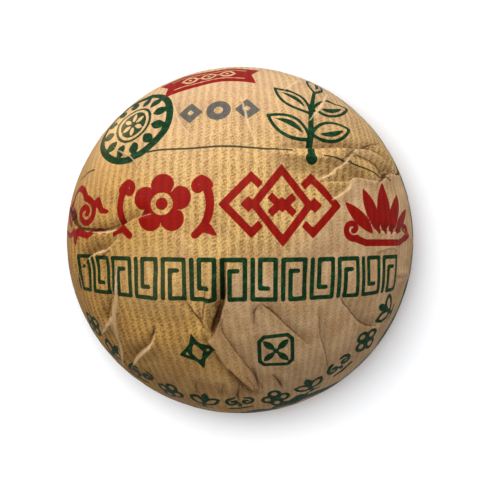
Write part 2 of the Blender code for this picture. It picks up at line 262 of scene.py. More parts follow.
# Where the print lies: centres and sizes in mm of paper, bearings and spans in degrees.
EMBLEM_ROW = [(-47.5, 7.2), (-18.6, 8.2), (9.8, 8.2), (38.4, 6.9)]
FRET_LEFT = -47.5
FRET_RIGHT = 44.5
FRET_UNITS = 13
FRET_MIDDLE = -9.2
FRET_HEIGHT = 10.4
FRET_STROKE = 1.10
PRINT_CENTRE = (-3.5, 2.7)
GARLAND_RADIUS = 50.5
GARLAND_COUNT = 11
GARLAND_BEARINGS = (214.5, 333.5)
RIBBON_RADIUS = 46.6
RIBBON_HALF_WIDTH = 5.0
RIBBON_BEARINGS = (79.5, 115.0)
MEDALLION_CENTRE = (-30.0, 32.5)
MEDALLION_RADIUS = 12.6
RULE_TOP = (-8.0, 22.4)
RULE_DROP = 0.0021
RULE_HALF_WIDTH = 0.24
RULE_GAPS = [(-90.0, -50.0), (-41.0, -23.4), (12.8, 20.4), (43.5, 90.0)]
BORDER_WIDTH = 4.5
BORDER_RADIUS = 58.3
BORDER_SHIFT = 2.6
BORDER_SHIFT_BEARING = -30.0
BORDER_PULL = 5.0
BORDER_PULL_BEARING = -73.0
BORDER_PULL_SPAN = 13.0
PAIRED_LOZENGE_CENTRE = (-10.6, -27.9)
SQUARE_BLOSSOM_CENTRE = (8.9, -27.4)
SPRIG_FOOT = (17.2, 19.4)
BADGE_CENTRE = (-5.5, 33.2)

# The signed distance where no print is near.
NO_INK = 9.0

# Tones laid over the paper or in the inks, each by a share of its own.
BLOTCH_TONE = (0.29, 0.150, 0.058)
FIBRE_TONE = (0.74, 0.55, 0.28)
SPECKLE_TONE = (0.25, 0.118, 0.030)
GRAIN_TONE = (0.21, 0.090, 0.022)
# The next three are painted light: the glare at the top, the dash colour under that glare, and the soft
# painted highlights.
TOP_GLARE_TONE = (0.56, 0.385, 0.265)
TOP_GLARE_DASH_TONE = (0.22, 0.095, 0.032)
PAINTED_HIGHLIGHT_TONE = (0.80, 0.57, 0.28)
# The broad crests, partly worn and partly a painted highlight.
BROAD_CREST_TONE = (0.50, 0.325, 0.178)
THIN_GREEN = (0.013, 0.070, 0.022)
RIBBED_RED = (0.14, 0.004, 0.002)
RULE_INK = (0.022, 0.030, 0.016)

# Tints that multiply the colour under them. The two deep tints darken the edges, partly as painted shade,
# and the last two are painted shade beside the creases and in their gaps.
GOLDEN_TINT = (1.0, 0.93, 0.70)
DEEP_TINT = (0.64, 0.55, 0.48)
DEEP_GREEN_TINT = (1.0, 0.75, 0.45)
PAINTED_SHADE_TINT = (0.20, 0.13, 0.07)
GAP_SHADE_TINT = (0.19, 0.11, 0.07)

# The lamps that light the cake alone: name, azimuth and elevation in degrees, and the setting of its power.
# Distances and sizes on the stage are in metres.
CAKE_LAMPS = (
    ("left_light", 140, 22, "left_watts"), ("right_light", 64, 22, "right_watts"),
    ("top_light", 95, 62, "top_watts"),
)
LAMP_DISTANCE = 0.9
LAMP_SIZE = 0.4
LAMP_COLOUR = (1.0, 0.99, 0.97)
LAMP_TARGET = (0.0, 0.0, 0.02)
FLOOR_LAMP_PLACE = (135, 71, 1.04)
FLOOR_LAMP_SIZE = 0.8
FLOOR_REACH = 2.0
FLOOR_GAP = 0.0002
WORLD_COLOUR = (0.97, 0.98, 1.0, 1.0)


class TuochaCakeSettings(bpy.types.PropertyGroup):
    """Sizes of the cake in its wrapper."""

    radius: bpy.props.FloatProperty(
        name="Radius", description="Radius at the belly", default=CAKE_RADIUS, unit="LENGTH")
    height: bpy.props.FloatProperty(
        name="Height", description="Height of the dome", default=CAKE_HEIGHT, unit="LENGTH")
    belly_height: bpy.props.FloatProperty(
        name="Belly height", description="Height of the widest place", default=0.0075, unit="LENGTH")
    land_outer: bpy.props.FloatProperty(
        name="Land, outer", description="Outer radius of the flat ring underneath", default=0.036,
        unit="LENGTH")
    land_inner: bpy.props.FloatProperty(
        name="Land, inner", description="Inner radius of the flat ring underneath", default=0.0305,
        unit="LENGTH")
    lip_width: bpy.props.FloatProperty(
        name="Lip width", description="Width of the round lip of the hollow", default=0.0030, unit="LENGTH")
    lip_height: bpy.props.FloatProperty(
        name="Lip height", description="Height of the round lip of the hollow", default=0.0040,
        unit="LENGTH")
    hollow_height: bpy.props.FloatProperty(
        name="Hollow height", description="Height of the hollow underneath", default=0.0185, unit="LENGTH")
    twist_radius: bpy.props.FloatProperty(
        name="Twist radius", description="Radius of the twist of paper in the hollow", default=0.0100,
        unit="LENGTH")
    twist_drop: bpy.props.FloatProperty(
        name="Twist drop", description="How far the twist hangs into the hollow", default=0.0065,
        unit="LENGTH")
    crease_height: bpy.props.FloatProperty(
        name="Creases", description="Height of the creases, as a share of the heights in their table",
        default=1.80)
    lump_height: bpy.props.FloatProperty(
        name="Lumps", description="Height of the lumps of leaf under the paper", default=0.00022,
        unit="LENGTH")
    crumple_height: bpy.props.FloatProperty(
        name="Crumple", description="Height of the small straight creases", default=0.00008, unit="LENGTH")


class TuochaPaperSettings(bpy.types.PropertyGroup):
    """Colours and texture of the paper and its print."""

    golden: bpy.props.FloatVectorProperty(
        name="Golden paper", description="Colour of the paper", subtype="COLOR", size=3,
        default=(0.55, 0.340, 0.108))
    # The rosy colour is partly the paper's own and partly painted cooler light.
    rosy: bpy.props.FloatVectorProperty(
        name="Rosy paper", description="Colour where the paper lies smooth and greyer", subtype="COLOR",
        size=3, default=(0.50, 0.320, 0.177))
    shade: bpy.props.FloatVectorProperty(
        name="Rib shade", description="Colour of the dark dashes in the ribs", subtype="COLOR", size=3,
        default=(0.185, 0.078, 0.014))
    # The crests are partly worn and partly a painted highlight.
    worn: bpy.props.FloatVectorProperty(
        name="Worn paper", description="Colour of the rubbed crests of creases", subtype="COLOR", size=3,
        default=(0.64, 0.46, 0.27))
    # Painted shade deep in a tuck.
    gap: bpy.props.FloatVectorProperty(
        name="Gap", description="Colour deep in a tuck", subtype="COLOR", size=3,
        default=(0.050, 0.018, 0.005))
    red: bpy.props.FloatVectorProperty(
        name="Red ink", description="Colour of the red print", subtype="COLOR", size=3,
        default=(0.23, 0.005, 0.002))
    green: bpy.props.FloatVectorProperty(
        name="Green ink", description="Colour of the green print", subtype="COLOR", size=3,
        default=(0.004, 0.021, 0.007))
    grey: bpy.props.FloatVectorProperty(
        name="Grey ink", description="Colour of the thin green-grey print", subtype="COLOR", size=3,
        default=(0.032, 0.054, 0.066))
    rib_pitch: bpy.props.FloatProperty(
        name="Rib pitch", description="Distance between ribs, in millimetres of paper", default=2.12)
    dash_pitch: bpy.props.FloatProperty(
        name="Dash pitch", description="Distance between dashes in a rib, in millimetres of paper",
        default=0.92)
    roughness: bpy.props.FloatProperty(
        name="Roughness", description="Roughness of the paper", default=0.50, min=0.0, max=1.0,
        subtype="FACTOR")


class TuochaStageSettings(bpy.types.PropertyGroup):
    """The floor, the lights and the camera."""

    camera_height: bpy.props.FloatProperty(
        name="Camera height", description="Height of the camera over the floor", default=0.60,
        unit="LENGTH")
    lens: bpy.props.FloatProperty(
        name="Lens", description="Focal length of the camera", default=182.9, unit="CAMERA")
    left_watts: bpy.props.FloatProperty(
        name="Left light", description="Power of the low light at the upper left", default=5.0,
        unit="POWER")
    right_watts: bpy.props.FloatProperty(
        name="Right light", description="Power of the low light at the upper right", default=3.2,
        unit="POWER")
    top_watts: bpy.props.FloatProperty(
        name="Top light", description="Power of the high light", default=4.8, unit="POWER")
    world_strength: bpy.props.FloatProperty(
        name="World", description="Strength of the even light", default=0.50)
    floor_watts: bpy.props.FloatProperty(
        name="Floor light", description="Power of the soft light that falls on the floor alone",
        default=12.0, unit="POWER")
    floor_colour: bpy.props.FloatVectorProperty(
        name="Floor", description="Colour of the floor", subtype="COLOR", size=3,
        default=(0.89, 0.90, 0.915))


def smooth_step(value, low, high):
    """0 below low, 1 above high, and a smooth rise between."""
    share = np.clip((value - low) / (high - low), 0, 1)
    return share * share * (3 - 2 * share)


def quarter_ellipse(centre, across, up, start, end):
    """Points of an ellipse round centre, from the angle start to the angle end, in degrees."""
    turn = np.radians(np.linspace(start, end, ARC_POINTS))
    return np.column_stack([centre[0] + across * np.cos(turn), centre[1] + up * np.sin(turn)])


def wrapper_profile(cake):
    """(radius, height) along the wrapper, from the top of the dome to the middle of the hollow."""
    land, belly = cake.land_outer, cake.belly_height
    dome = quarter_ellipse((0, belly), cake.radius, cake.height - belly, 90, 0)
    side = quarter_ellipse((land, belly), cake.radius - land, belly, 0, -90)
    lip = quarter_ellipse((cake.land_inner, cake.lip_height), cake.lip_width, cake.lip_height, -90, -180)
    rise = cake.hollow_height - cake.lip_height
    hollow = quarter_ellipse((0, cake.lip_height), cake.land_inner - cake.lip_width, rise, 0, 90)
    hollow[:, 1] -= cake.twist_drop * (1 - smooth_step(hollow[:, 0], 0, cake.twist_radius))
    profile = np.vstack([dome, side[1:], lip, hollow[1:]])
    profile[[0, -1], 0] = 0.0
    return profile


class WrapperGrid:
    """The smooth wrapper as points: for each, its bearing, its length of paper from the top of the dome,
    its place and the direction that points out of the paper."""

    def __init__(self, cake):
        profile = wrapper_profile(cake)
        steps = np.hypot(*np.diff(profile, axis=0).T)
        length = np.concatenate([[0.0], np.cumsum(steps)])
        self.belly = length[np.argmax(profile[:, 0])]
        self.land = length[profile[:, 1] < ON_TABLE]
        self.middle = length[-1]
        dome = np.linspace(0, self.belly, DOME_ROWS + 1)
        under = np.linspace(self.belly, self.middle, UNDER_ROWS + 1)
        rows = np.concatenate([dome, under[1:]])
        for edge in self.land:
            rows[np.argmin(abs(rows - edge))] = edge
        bearing = np.arange(COLUMNS) * math.tau / COLUMNS
        self.turn = np.concatenate([[0.0], np.tile(bearing, len(rows) - 2), [0.0]])
        self.paper = np.concatenate([rows[:1], np.repeat(rows[1:-1], COLUMNS), rows[-1:]])
        radius = np.interp(self.paper, length, profile[:, 0])
        height = np.interp(self.paper, length, profile[:, 1])
        lean = np.gradient(profile, length, axis=0)
        lean /= np.hypot(*lean.T)[:, None]
        out_radius = np.interp(self.paper, length, -lean[:, 1])
        out_height = np.interp(self.paper, length, lean[:, 0])
        cosine, sine = np.cos(self.turn), np.sin(self.turn)
        self.place = np.column_stack([radius * cosine, radius * sine, height])
        self.outward = np.column_stack([out_radius * cosine, out_radius * sine, out_height])
        self.right = self.paper * cosine / MM
        self.up = self.paper * sine / MM

    def faces(self):
        """Quads between neighbouring rows, and a fan of triangles at each pole."""
        count = len(self.paper)
        here = np.arange(1, count - 1).reshape(-1, COLUMNS)
        aside = np.roll(here, -1, axis=1)
        quads = np.stack([here[:-1], here[1:], aside[1:], aside[:-1]], axis=-1).reshape(-1, 4)
        first = np.column_stack([np.zeros(COLUMNS, int), here[0], aside[0]])
        last = np.column_stack([here[-1], np.full(COLUMNS, count - 1), aside[-1]])
        return quads.tolist() + first.tolist() + last.tolist()


def smooth_path(places, spacing=1.0):
    """The places joined by a curve through them all (Catmull-Rom), as points about spacing apart. What
    is given with a place beside its right and up runs smoothly along too."""
    ends = [2 * np.array(places[0]) - places[1]] + [np.array(p) for p in places]
    ends.append(2 * np.array(places[-1]) - places[-2])
    points = []
    for before, start, end, after in zip(ends[:-3], ends[1:-2], ends[2:-1], ends[3:]):
        count = max(2, int(np.hypot(*(end - start)[:2]) / spacing))
        step = np.linspace(0, 1, count, endpoint=False)[:, None]
        curve = 2 * start + (end - before) * step
        curve = curve + (2 * before - 5 * start + 4 * end - after) * step**2
        curve = curve + (3 * start - before - 3 * end + after) * step**3
        points.extend(curve / 2)
    points.append(ends[-2])
    return np.array(points)


def path_share(path):
    """How far along a path each of its points lies, from 0 to 1."""
    lengths = np.hypot(*np.diff(path[:, :2], axis=0).T)
    return np.concatenate([[0.0], np.cumsum(lengths)]) / lengths.sum()


def distance_to_path(right, up, path):
    """Distance from each place to a path of straight stretches, on which side it lies, and how far along.

    The side is +1 to the right of the way the path runs. Places are in millimetres of paper."""
    best = np.full(right.shape, np.inf)
    side = np.zeros(right.shape)
    share = np.zeros(right.shape)
    lengths = np.hypot(*np.diff(path, axis=0).T)
    before = 0.0
    for start, end, length in zip(path[:-1], path[1:], lengths):
        way = (end - start) / length
        east, north = right - start[0], up - start[1]
        ahead = np.clip(east * way[0] + north * way[1], 0, length)
        off = np.hypot(east - ahead * way[0], north - ahead * way[1])
        nearer = off < best
        best = np.where(nearer, off, best)
        side = np.where(nearer, np.sign(east * way[1] - north * way[0]), side)
        share = np.where(nearer, (before + ahead) / lengths.sum(), share)
        before += length
    return best, side, share


def near_path(right, up, path, reach):
    """The numbers of the points that lie in the path's own box, widened by reach."""
    low, high = path.min(axis=0) - reach, path.max(axis=0) + reach
    inside = (right > low[0]) & (right < high[0]) & (up > low[1]) & (up < high[1])
    return np.flatnonzero(inside)


def taper(share):
    """1 halfway along a crease, falling to 0 at both of its ends."""
    return np.sqrt(np.clip(4 * share * (1 - share), 0, 1))


def flank(off, width):
    """1 on the line of a crease, falling to 0 a width away from it."""
    return np.clip(1 - off / width, 0, 1) ** CREASE_SHARPNESS


def soft_places(right, up, places):
    """Soft places laid over each other, each a bell of depth * exp(-distance squared) in reaches from its
    middle."""
    left_out = np.ones(right.shape)
    for middle_right, middle_up, reach_right, reach_up, depth in places:
        apart = ((right - middle_right) / reach_right) ** 2 + ((up - middle_up) / reach_up) ** 2
        left_out *= 1 - depth * np.exp(-apart)
    return 1 - left_out


class CreaseField:
    """What the creases do at each point: the height of the paper in mm, the painted shade beside them from 0
    to 1, and the nearest worn lines, partly a painted highlight, and dark lines of painted shade, each as a
    signed distance and a half width in mm."""

    def __init__(self, right, up):
        self.right, self.up = right, up
        self.height = np.zeros(right.shape)
        self.shade = np.zeros(right.shape)
        self.worn = [np.full(right.shape, NO_INK), np.full(right.shape, -1.0)]
        self.dark = [np.full(right.shape, NO_INK), np.full(right.shape, -1.0)]
        draw = np.random.default_rng(WOBBLE_SEED)
        for crease in CREASES:
            self.add(draw, *crease)
        # Painted shade patches in the hollows are laid over the painted shade beside the creases.
        self.shade = 1 - (1 - self.shade) * (1 - soft_places(right, up, PAINTED_SHADE_PATCHES))

    def line(self, field, near, off, side, half):
        """Draws a line of this half width where it is nearer than the lines that are there."""
        old_off, old_half = field[0][near], field[1][near]
        closer = (off - half < abs(old_off) - old_half) & (off < half + LINE_REACH) & (half > THINNEST_LINE)
        field[0][near] = np.where(closer, off * side, old_off)
        field[1][near] = np.where(closer, half, old_half)

    def add(self, draw, places, left, right, width, shade_left, shade_right):
        """Adds one crease. Its height runs from one side's to the other's across the crease, and falls
        off as (1 - distance / width) ** 1.5 and towards both ends."""
        points = smooth_path(places)
        path, lines = points[:, :2], points[:, 2]
        path[1:-1] += draw.normal(0.0, WOBBLE_HEIGHT, path[1:-1].shape)
        near = near_path(self.right, self.up, path, width + 1.0)
        off, side, share = distance_to_path(self.right[near], self.up[near], path)
        side = np.where(side == 0, 1, side)
        ends = taper(share)
        part = 0.5 + 0.5 * np.clip(off * side / CREASE_RAMP, -1, 1)
        self.height[near] += ends * flank(off, width) * (left + (right - left) * part)
        # Painted shade on each side of the crease, as given in its row.
        soil = np.where(side > 0, shade_right, shade_left) * ends * (1 - smooth_step(off, 0, 0.85 * width))
        self.shade[near] = np.maximum(self.shade[near], soil)
        half = np.interp(share, path_share(path), lines)
        # Worn lines, partly wear and partly a painted highlight.
        self.line(self.worn, near, off, side, half)
        # Dark lines of painted shade in the gaps.
        self.line(self.dark, near, off, side, -half)


def lump_relief(right, up):
    """Low lumps of tea under the paper, a sum of seeded waves of about unit height."""
    draw = np.random.default_rng(LUMP_SEED)
    height = np.zeros(right.shape)
    for _ in range(LUMP_WAVES):
        heading = draw.uniform(0, math.tau)
        spacing = LUMP_SPACING * draw.uniform(0.7, 1.6)
        start = draw.uniform(0, math.tau)
        height += np.sin(math.tau * (right * np.cos(heading) + up * np.sin(heading)) / spacing + start)
    return height / math.sqrt(LUMP_WAVES)


def crumple_relief(right, up):
    """Straight folds in all directions, a sum of seeded zigzag waves bent a little by slow ones."""
    draw = np.random.default_rng(CRUMPLE_SEED)
    height = np.zeros(right.shape)
    bend = 1.6 * np.sin(right / 9.0 + 1.3) * np.sin(up / 11.0 + 0.4)
    for _ in range(CRUMPLE_WAVES):
        heading = draw.uniform(0, math.tau)
        spacing = draw.uniform(*CRUMPLE_SPACING)
        start = draw.uniform(0, 1)
        phase = (right * np.cos(heading) + up * np.sin(heading) + bend) / spacing + start
        height += 4 * abs(phase - np.floor(phase + 0.5)) - 1
    return height


def pucker_relief(turn, paper_mm, belly_mm):
    """Short ridges that run outwards where the spare paper starts to gather, in mm."""
    draw = np.random.default_rng(PUCKER_SEED)
    height = np.zeros(turn.shape)
    for number in range(PUCKER_COUNT):
        bearing = math.tau * (number + draw.uniform(0, 1)) / PUCKER_COUNT
        start = draw.uniform(*PUCKER_STARTS)
        bend = draw.uniform(*PUCKER_BENDS)
        tall = draw.uniform(*PUCKER_HEIGHTS)
        half_width = draw.uniform(*PUCKER_HALF_WIDTHS)
        aside = np.angle(np.exp(1j * (turn - bearing - bend * (paper_mm - start))))
        off = abs(aside) * paper_mm * PUCKER_ARC_SHARE
        risen = smooth_step(paper_mm, start, start + PUCKER_RISE)
        left_over = 1 - smooth_step(paper_mm, belly_mm - PUCKER_FADE[0], belly_mm - PUCKER_FADE[1])
        height += tall * risen * left_over * flank(off, half_width)
    return height


def pleat_relief(turn, paper, land, hollow, middle, twist_radius):
    """Depth of the pleats below the smooth shape, in metres. Each is flush for part of its width, sinks
    towards the next, and ends in a step where that one lies over it.

    The land, the hollow and the middle are lengths of paper: where the flat land starts, where the
    pleats are deepest, and the middle of the underside."""
    wander = PLEAT_WANDER * (np.sin(3 * turn + 1.0) + np.sin(5 * turn + 4.0) + np.sin(8 * turn))
    lean = PLEAT_SPIRAL * np.clip((paper - land) / (middle - land), 0, 1)
    place = PLEAT_COUNT * turn / math.tau + wander + lean
    part = place - np.floor(place)
    sink = np.clip((part - PLEAT_FLUSH_SHARE) / (1 - PLEAT_FLUSH_SHARE), 0, 1) ** CREASE_SHARPNESS
    sink *= 1 - smooth_step(part, 1 - PLEAT_STEP_SHARE, 1)
    depth = PLEAT_DEPTH_ON_LAND * np.clip((paper - PLEAT_START) / (land - PLEAT_START), 0, 1) ** 1.5
    depth = depth + (PLEAT_DEPTH_IN_HOLLOW - PLEAT_DEPTH_ON_LAND) * smooth_step(paper, land, hollow)
    return -depth * sink * (1 - smooth_step(paper, middle - twist_radius, middle - twist_radius / 2))


def twist_relief(turn, paper, middle, twist_radius):
    """Folds wound round the low twist of paper in the middle of the hollow, in metres."""
    inwards = (paper - middle) / twist_radius
    near = smooth_step(inwards, -1.3, -0.7) * (1 - smooth_step(inwards, -0.5, 0))
    wound = TWIST_FOLDS * turn + TWIST_WIND * (paper - middle)
    fine = 0.35 * abs(np.sin(1.5 * wound + 0.7))
    return TWIST_FOLD_DEPTH * near * (np.sin(wound) + fine)


def disc(x, y, radius, at=(0.0, 0.0)):
    """Signed distance to a disc, below zero inside it, as for every shape of the print."""
    return np.hypot(x - at[0], y - at[1]) - radius


def union(*shapes):
    """Signed distance to shapes laid together: the least of theirs."""
    return np.minimum.reduce(shapes)


def rod(x, y, start, end, half, end_half=None):
    """Signed distance to a straight stroke with round ends, whose half width may change along it."""
    east, north = end[0] - start[0], end[1] - start[1]
    share = ((x - start[0]) * east + (y - start[1]) * north) / (east**2 + north**2)
    share = np.clip(share, 0, 1)
    off = np.hypot(x - start[0] - share * east, y - start[1] - share * north)
    return off - half - share * ((half if end_half is None else end_half) - half)


def stroke(x, y, path, half, end_half=None):
    """Signed distance to a line drawn through the places of a path, thinning evenly towards its end."""
    widths = np.linspace(half, half if end_half is None else end_half, len(path))
    stretches = zip(path[:-1], path[1:], widths[:-1], widths[1:])
    return union(*(rod(x, y, start, end, wide, thin) for start, end, wide, thin in stretches))


def petal(x, y, root, tip, half):
    """Signed distance to a pointed petal: its half width rises and falls as a parabola along it."""
    east, north = tip[0] - root[0], tip[1] - root[1]
    length = math.hypot(east, north)
    along = ((x - root[0]) * east + (y - root[1]) * north) / length**2
    aside = ((x - root[0]) * north - (y - root[1]) * east) / length
    wide = half * 4 * along * (1 - along)
    slope = half * 4 * (1 - 2 * along) / length
    inside = (abs(aside) - wide) / np.sqrt(1 + slope**2)
    beyond = np.minimum(np.hypot(x - root[0], y - root[1]), np.hypot(x - tip[0], y - tip[1]))
    return np.where((along > 0) & (along < 1), inside, beyond)


def spiral(centre, radius, turns, start, hand=1, inner=0.15):
    """Places along a spiral from its rim at the angle start, in degrees, winding in to its middle."""
    step = np.linspace(0, 1, int(18 * turns))
    angle = np.radians(start) + hand * math.tau * turns * step
    reach = radius * (1 - (1 - inner) * step)
    return np.column_stack([centre[0] + reach * np.cos(angle), centre[1] + reach * np.sin(angle)])


def polar(start, angle, reach):
    """The place that lies reach away from start, at an angle in radians."""
    return (start[0] + reach * math.cos(angle), start[1] + reach * math.sin(angle))


def arc(centre, radius, start, end, count=10):
    """Places along an arc between two angles in degrees."""
    angle = np.radians(np.linspace(start, end, count))
    return np.column_stack([centre[0] + radius * np.cos(angle), centre[1] + radius * np.sin(angle)])


def lotus(x, y):
    """A lotus: a fan of petals over a waterline that curls up at both ends."""
    x = abs(x)
    return union(
        petal(x, y, (0.0, -5.6), (0.0, 8.6), 2.5),
        petal(x, y, (1.9, -5.6), (7.0, 6.4), 2.0),
        petal(x, y, (4.2, -5.4), (12.6, 2.6), 1.7),
        stroke(x, y, [(0.0, -7.6), (6.5, -7.6), (9.6, -6.6)], 0.9),
        stroke(x, y, spiral((10.6, -4.2), 2.5, 1.1, 240), 0.85, 0.6),
    )


def blossom(x, y):
    """A five-petalled blossom between two curled brackets."""
    middle = (0.0, 0.4)
    ink = np.full(x.shape, NO_INK)
    for number in range(5):
        angle = math.radians(90 + 72 * number)
        ink = union(ink, disc(x, y, 2.9, polar(middle, angle, 4.5)))
        angle += math.radians(36)
        slit = rod(x, y, polar(middle, angle, 3.4), polar(middle, angle, 8.5), 0.12, 0.6)
        ink = np.maximum(ink, -slit)
    ink = np.maximum(ink, -disc(x, y, 2.7, middle))
    ink = union(ink, disc(x, y, 1.5, middle))
    x = abs(x)
    return union(
        ink,
        stroke(x, y, arc((2.5, 0.2), 9.2, -52, 40), 0.9, 1.1),
        stroke(x, y, spiral((9.2, 4.2), 2.3, 0.9, 10), 0.95, 0.7),
        rod(x, y, (11.2, -5.6), (13.0, -7.0), 1.2, 0.3),
    )


def lozenges(x, y):
    """Three linked lozenges, each with a small diamond in it."""
    ink = np.full(x.shape, NO_INK)
    for middle, reach, rise in ((-7.2, 6.4, 6.6), (7.2, 6.4, 6.6), (0.0, 6.6, 8.4)):
        edge = (abs(x - middle) / reach + abs(y) / rise - 1) * reach * rise / math.hypot(reach, rise)
        ink = np.maximum(ink, -(abs(edge) - 1.5))
        ink = union(ink, abs(edge) - 0.9)
    for middle in (-7.9, 0.0, 7.9):
        ink = union(ink, (abs(x - middle) + abs(y) - 1.9) / math.sqrt(2))
    return ink


def cloud(x, y):
    """A cloud scroll: two curls that meet under a round crown, and a tail to each side."""
    crown = stroke(x, y, arc((0.0, 3.4), 4.6, 12, 168), 1.0)
    x = abs(x)
    return union(
        crown,
        stroke(x, y, spiral((4.3, 0.4), 4.0, 1.35, 80, -1), 1.0, 0.75),
        stroke(x, y, [(1.2, -4.9), (5.6, -6.0), (9.6, -4.4), (13.2, -5.6)], 1.15, 0.3),
        stroke(x, y, [(9.2, 3.2), (10.8, 0.6), (13.0, 0.2)], 1.2, 0.5),
        rod(x, y, (0.0, -6.0), (0.0, -8.0), 1.4, 0.7),
    )


def fret(x, y):
    """A fret of square hooks in a row, with every second one upside down."""
    pitch = (FRET_RIGHT - FRET_LEFT) / FRET_UNITS
    unit = np.floor((x - FRET_LEFT) / pitch)
    across = x - FRET_LEFT - (unit + 0.5) * pitch
    flip = np.where(unit % 2 == 0, 1, -1)
    rise = (y - FRET_MIDDLE) * flip
    half = FRET_STROKE / 2
    top, wide = FRET_HEIGHT / 2 - half, pitch / 2 - half - 0.35
    hook = stroke(across, rise, [(-wide, -top), (-wide, top), (wide, top), (wide, -top), (-0.9, -top)], half)
    tongue = stroke(across, rise, [(-0.9, -top), (-0.9, top - 2.6), (0.9, top - 2.6)], half)
    return np.where((unit >= 0) & (unit < FRET_UNITS), union(hook, tongue), NO_INK)


def paired_lozenge(x, y):
    """One lozenge over another, drawn in outline."""
    upper = (abs(x) / 4.2 + abs(y) / 3.0 - 1) * 2.44
    tall = (abs(x) / 2.0 + abs(y) / 4.3 - 1) * 1.8
    return union(abs(upper) - 0.5, abs(tall) - 0.5)


def square_blossom(x, y):
    """Four petals in a square frame with cut corners."""
    frame_edge = np.maximum(np.maximum(abs(x) - 4.1, abs(y) - 4.3), (abs(x) + abs(y) - 7.2) / math.sqrt(2))
    x, y = abs(x), abs(y)
    return union(abs(frame_edge) - 0.5, petal(x, y, (0.3, 0.3), (3.2, 3.2), 0.9), disc(x, y, 0.75))


def small_blossom(x, y):
    """Four open round petals about a round heart."""
    far = np.maximum(abs(x), abs(y))
    near = np.minimum(abs(x), abs(y))
    return union(abs(disc(far, near, 1.25, (2.05, 0.0))) - 0.48, disc(x, y, 0.7))


def small_leaves(x, y):
    """A stalk with a pair of leaves and a bud."""
    x = abs(x)
    return union(
        rod(x, y, (0.0, -3.3), (0.0, 1.0), 0.45),
        abs(petal(x, y, (0.0, -1.6), (3.5, 1.6), 1.15)) - 0.44,
        rod(x, y, (0.0, -3.2), (2.2, -3.2), 0.42, 0.3),
        petal(x, y, (0.0, 0.4), (0.0, 3.6), 0.95),
    )


def small_cloud(x, y):
    """Two curls over a short line, with a drop between them."""
    x = abs(x)
    return union(
        stroke(x, y, spiral((1.75, 0.7), 1.95, 1.1, 100, -1), 0.50),
        rod(x, y, (0.0, -2.9), (3.0, -2.5), 0.48, 0.36),
        petal(x, y, (0.0, -2.2), (0.0, 0.2), 0.6),
    )


def petal_ring(radius, angle, count, middle, reach, half):
    """A ring of petals that point outwards, each from reach inside the middle radius to reach outside it."""
    step = math.tau / count
    local = (angle + math.pi) % step - step / 2
    root, tip = (0.0, middle - reach), (0.0, middle + reach)
    return petal(radius * np.sin(local), radius * np.cos(local), root, tip, half)


def medallion(x, y):
    """A round rosette: a rim, a ring of petals, an inner ring and a dark heart with six light petals."""
    radius = np.hypot(x, y)
    angle = np.arctan2(y, x)
    return union(
        abs(radius - MEDALLION_RADIUS + 1.0) - 1.0,
        petal_ring(radius, angle, 12, 8.8, 2.2, 1.45),
        abs(radius - 5.7) - 0.42,
        np.maximum(radius - 4.4, -petal_ring(radius, angle, 6, 2.4, 1.6, 0.72)),
    )


def sprig(x, y):
    """A twig with two pairs of leaves and one at its tip, each dark on one side of its midrib."""
    stem = smooth_path([(0.0, 0.0), (0.8, 8.0), (2.0, 16.0), (4.6, 24.0)], 3.0)
    ink = union(stroke(x, y, stem, 1.0, 0.5), disc(x, y, 1.5, (0.0, 0.2)))
    leaves = (
        ((0.6, 6.0), (-10.2, 12.4), 3.0), ((0.8, 7.4), (13.2, 11.2), 3.0), ((1.6, 14.0), (-7.4, 23.6), 2.9),
        ((2.0, 15.4), (15.4, 20.4), 2.9), ((4.6, 23.4), (7.8, 34.6), 2.7),
    )
    for root, tip, half in leaves:
        leaf = petal(x, y, root, tip, half)
        east, north = tip[0] - root[0], tip[1] - root[1]
        aside = ((x - root[0]) * north - (y - root[1]) * east) / math.hypot(east, north)
        ink = union(ink, abs(leaf + 0.1) - 0.46, np.maximum(leaf + 1.3, 0.1 - aside))
    return ink


def ribbon(x, y):
    """A band bent round the middle of the print, with three dotted lenses between two lines left light."""
    radius = np.hypot(x, y)
    bearing = np.degrees(np.arctan2(y, x))
    low, high = RIBBON_BEARINGS
    middle, half_span = (low + high) / 2, (high - low) / 2
    aside = np.radians(bearing - middle) * RIBBON_RADIUS
    reach = math.radians(half_span) * RIBBON_RADIUS
    out = radius - RIBBON_RADIUS
    notch = reach - 1.6 + 0.4 * abs(out)
    ink = np.maximum(abs(out) - RIBBON_HALF_WIDTH, abs(aside) - notch)
    for number in range(-1, 2):
        local = aside - number * 5.6
        ink = np.maximum(ink, -(abs(petal(local, out, (-2.3, 0.0), (2.3, 0.0), 1.7)) - 0.38))
        ink = np.maximum(ink, -disc(local, out, 0.55))
    for edge in (-2.9, 2.9):
        ink = np.maximum(ink, -np.maximum(abs(out - edge) - 0.22, abs(aside) - reach + 3.2))
    return ink


def badge(x, y):
    """Two lozenges and a round eye in a row."""
    ink = abs(disc(x, y, 2.2)) - 1.0
    x = abs(x)
    edge = (abs(x - 7.4) / 3.3 + abs(y) / 3.4 - 1) * 2.37
    return union(ink, np.maximum(edge, -(edge + 1.7)))


def print_shape(ink, right, up, shape, centre, reach, lean=0.0, size=1.0):
    """Adds a shape to an ink's signed distances, turned by lean in degrees about its centre and drawn
    size times as large."""
    near = np.flatnonzero(np.hypot(right - centre[0], up - centre[1]) < reach)
    east, north = (right[near] - centre[0]) / size, (up[near] - centre[1]) / size
    cosine, sine = math.cos(math.radians(lean)), math.sin(math.radians(lean))
    drawn = size * shape(east * cosine + north * sine, north * cosine - east * sine)
    ink[near] = np.minimum(ink[near], drawn)


